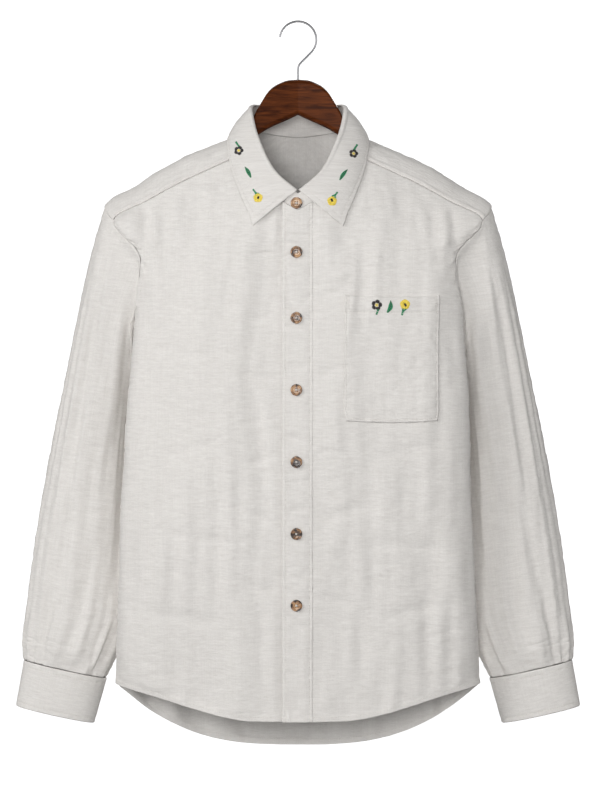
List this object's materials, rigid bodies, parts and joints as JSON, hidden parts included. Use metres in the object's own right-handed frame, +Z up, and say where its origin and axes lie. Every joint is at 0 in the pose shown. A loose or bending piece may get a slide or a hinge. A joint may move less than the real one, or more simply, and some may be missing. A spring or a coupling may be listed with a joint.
{
  "type": "long-sleeved oxford shirt on a wooden hanger",
  "caption": "Buttoned long-sleeved oxford shirt with pointed collar, chest pocket and curved hem, hanging on a contoured wooden hanger with a wire hook.",
  "frame": {"origin": "inside of the hook's crown, where a rail carries it", "axes": "+Z up, the shirt's front faces -Y, the wearer's left side is at +X"},
  "size_m": [0.725, 0.1797, 0.9307],
  "materials": {
    "cloth": "off-white cotton and linen weave with a slubby, lightly crinkled face",
    "horn": "mottled brown horn colour, polished",
    "wood": "dark reddish-brown stain under satin lacquer",
    "steel": "bright plated wire"
  },
  "bodies": {
    "root": {"front_left": "cloth", "front_right": "cloth", "back": "cloth", "yoke": "cloth", "placket": "cloth", "pocket": "cloth", "sleeve_left": "cloth", "sleeve_right": "cloth", "cuff_left": "cloth", "cuff_right": "cloth", "collar_band": "cloth", "collar_leaf": "cloth", "button_1": "horn", "button_2": "horn", "button_3": "horn", "button_4": "horn", "button_5": "horn", "button_6": "horn", "button_7": "horn", "cuff_button_left": "horn", "cuff_button_right": "horn", "hanger_wood": "wood", "hanger_hook": "steel"}
  },
  "joints": []
}
